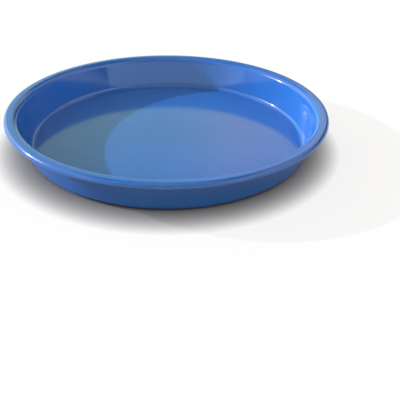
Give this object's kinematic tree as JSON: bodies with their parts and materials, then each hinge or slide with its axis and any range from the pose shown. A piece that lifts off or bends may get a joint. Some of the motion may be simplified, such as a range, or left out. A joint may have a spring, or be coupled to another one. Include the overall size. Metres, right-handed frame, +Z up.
{
  "type": "round ward dish",
  "caption": "Shallow round dish with a flat floor, flared wall and rounded turned-down rim, moulded in glossy blue plastic, for carrying instruments and dressings on a ward.",
  "frame": {"origin": "centre of the underside, on the plane of the foot ring that the dish stands on", "axes": "+Z up along the dish's axis of revolution, out of its open top; X and Y are any two square directions across it"},
  "size_m": [0.25, 0.25, 0.0286],
  "materials": {
    "blue_plastic": "smooth glossy moulded surface"
  },
  "bodies": {
    "root": {"dish": "blue_plastic"}
  },
  "joints": []
}
